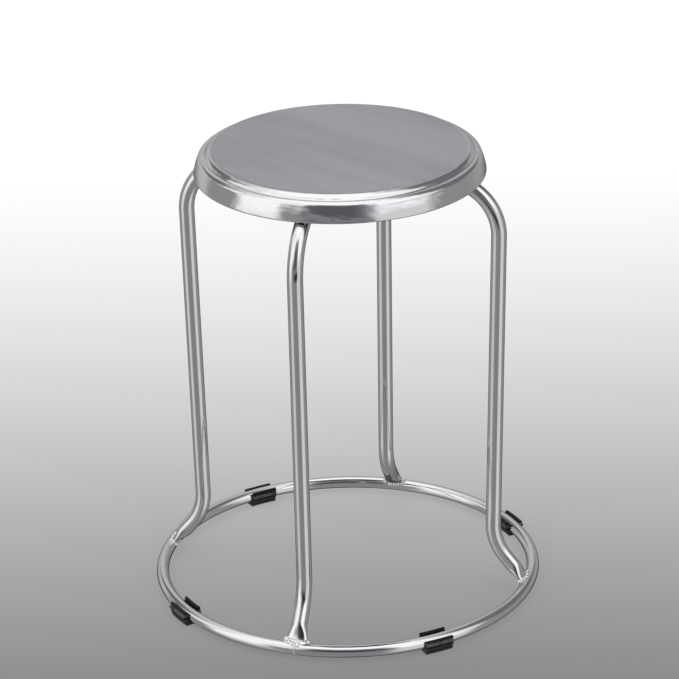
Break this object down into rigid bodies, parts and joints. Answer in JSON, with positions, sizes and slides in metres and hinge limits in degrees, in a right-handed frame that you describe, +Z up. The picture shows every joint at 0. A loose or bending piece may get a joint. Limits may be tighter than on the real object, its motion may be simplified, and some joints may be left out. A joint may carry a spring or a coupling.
{
  "type": "stainless steel stool",
  "caption": "Round stainless steel stool: pressed stepped seat on bent tube legs that flare out to a base ring standing on black clip-on feet.",
  "frame": {"origin": "on the floor at the centre of the base ring, under the middle of the seat", "axes": "+Z up; opposite legs lie on X and on Y; -Y is the front leg, where the ring's seam is; +X is to the right seen from the front"},
  "size_m": [0.3812, 0.3821, 0.4515],
  "materials": {
    "seat_steel": "brushed top, polished rim and skirt",
    "polished_tube": "polished stainless tube",
    "weld": "bright rippled weld bead",
    "foot_rubber": "ribbed satin black",
    "board": "raw board, unseen from above",
    "fastener": "bright zinc"
  },
  "bodies": {
    "root": {"seat_pan": "seat_steel", "seat_board": "board", "cross_hoop": "polished_tube", "front_leg": "polished_tube", "back_leg": "polished_tube", "base_ring": "polished_tube", "front_bridge_weld": "weld", "back_bridge_weld": "weld", "ring_seam_weld": "weld", "right_ring_weld": "weld", "back_ring_weld": "weld", "left_ring_weld": "weld", "front_ring_weld": "weld", "back_right_foot": "foot_rubber", "back_left_foot": "foot_rubber", "front_left_foot": "foot_rubber", "front_right_foot": "foot_rubber", "seat_screws": "fastener", "saddle_washers": "fastener"}
  },
  "joints": []
}
